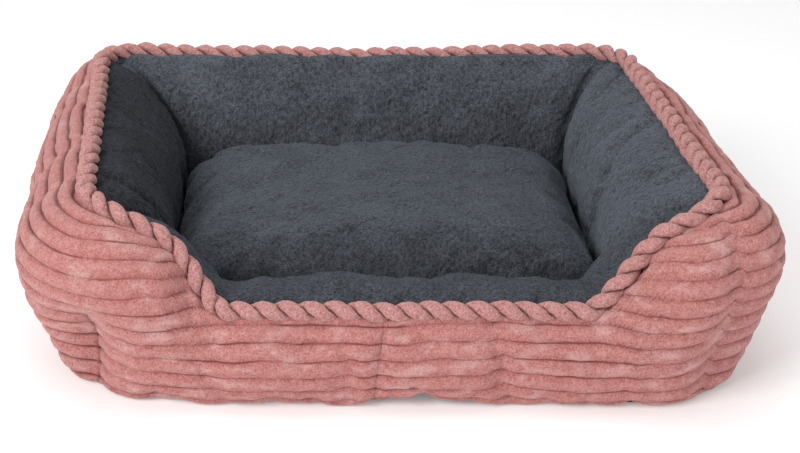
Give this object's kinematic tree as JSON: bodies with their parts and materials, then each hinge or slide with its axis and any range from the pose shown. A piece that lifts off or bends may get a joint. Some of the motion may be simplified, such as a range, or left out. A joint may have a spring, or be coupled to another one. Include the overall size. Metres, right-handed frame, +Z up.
{
  "type": "pet bed",
  "caption": "Rectangular pet bed of stuffed bolsters with a low front entry, a twisted rope trim round the rim and a loose lift-out cushion.",
  "frame": {"origin": "middle of the footprint on the floor", "axes": "+Z up, +X along the length, the low entry faces -Y"},
  "size_m": [0.744, 0.564, 0.1995],
  "materials": {
    "corduroy": "wide-wale dusty pink corduroy with a brushed pile",
    "rope_plush": "dusty pink plush cord, two strands twisted",
    "lining_plush": "dark slate short-pile plush",
    "cushion_plush": "slate grey short-pile plush",
    "base_cloth": "dark non-slip woven cloth",
    "wadding": "white needled wadding",
    "fibre_stuffing": "white hollow-fibre stuffing"
  },
  "bodies": {
    "bed": {"outer_panel_left": "corduroy", "outer_panel_right": "corduroy", "outer_panel_back": "corduroy", "outer_panel_front_left": "corduroy", "outer_panel_front_right": "corduroy", "lining_left": "lining_plush", "lining_right": "lining_plush", "lining_back": "lining_plush", "lining_front": "lining_plush", "fill_left": "fibre_stuffing", "fill_right": "fibre_stuffing", "fill_back": "fibre_stuffing", "fill_front": "fibre_stuffing", "rope_strand_a": "rope_plush", "rope_strand_b": "rope_plush", "base_panel": "base_cloth", "base_wadding": "wadding", "floor_lining": "lining_plush"},
    "cushion": {"cushion_top": "cushion_plush", "cushion_bottom": "cushion_plush", "cushion_fill": "fibre_stuffing"}
  },
  "joints": [
    {"name": "cushion_lift", "type": "slide", "parent": "bed", "child": "cushion", "axis": [0, 0, 1], "range_m": [0, 0.25]}
  ]
}
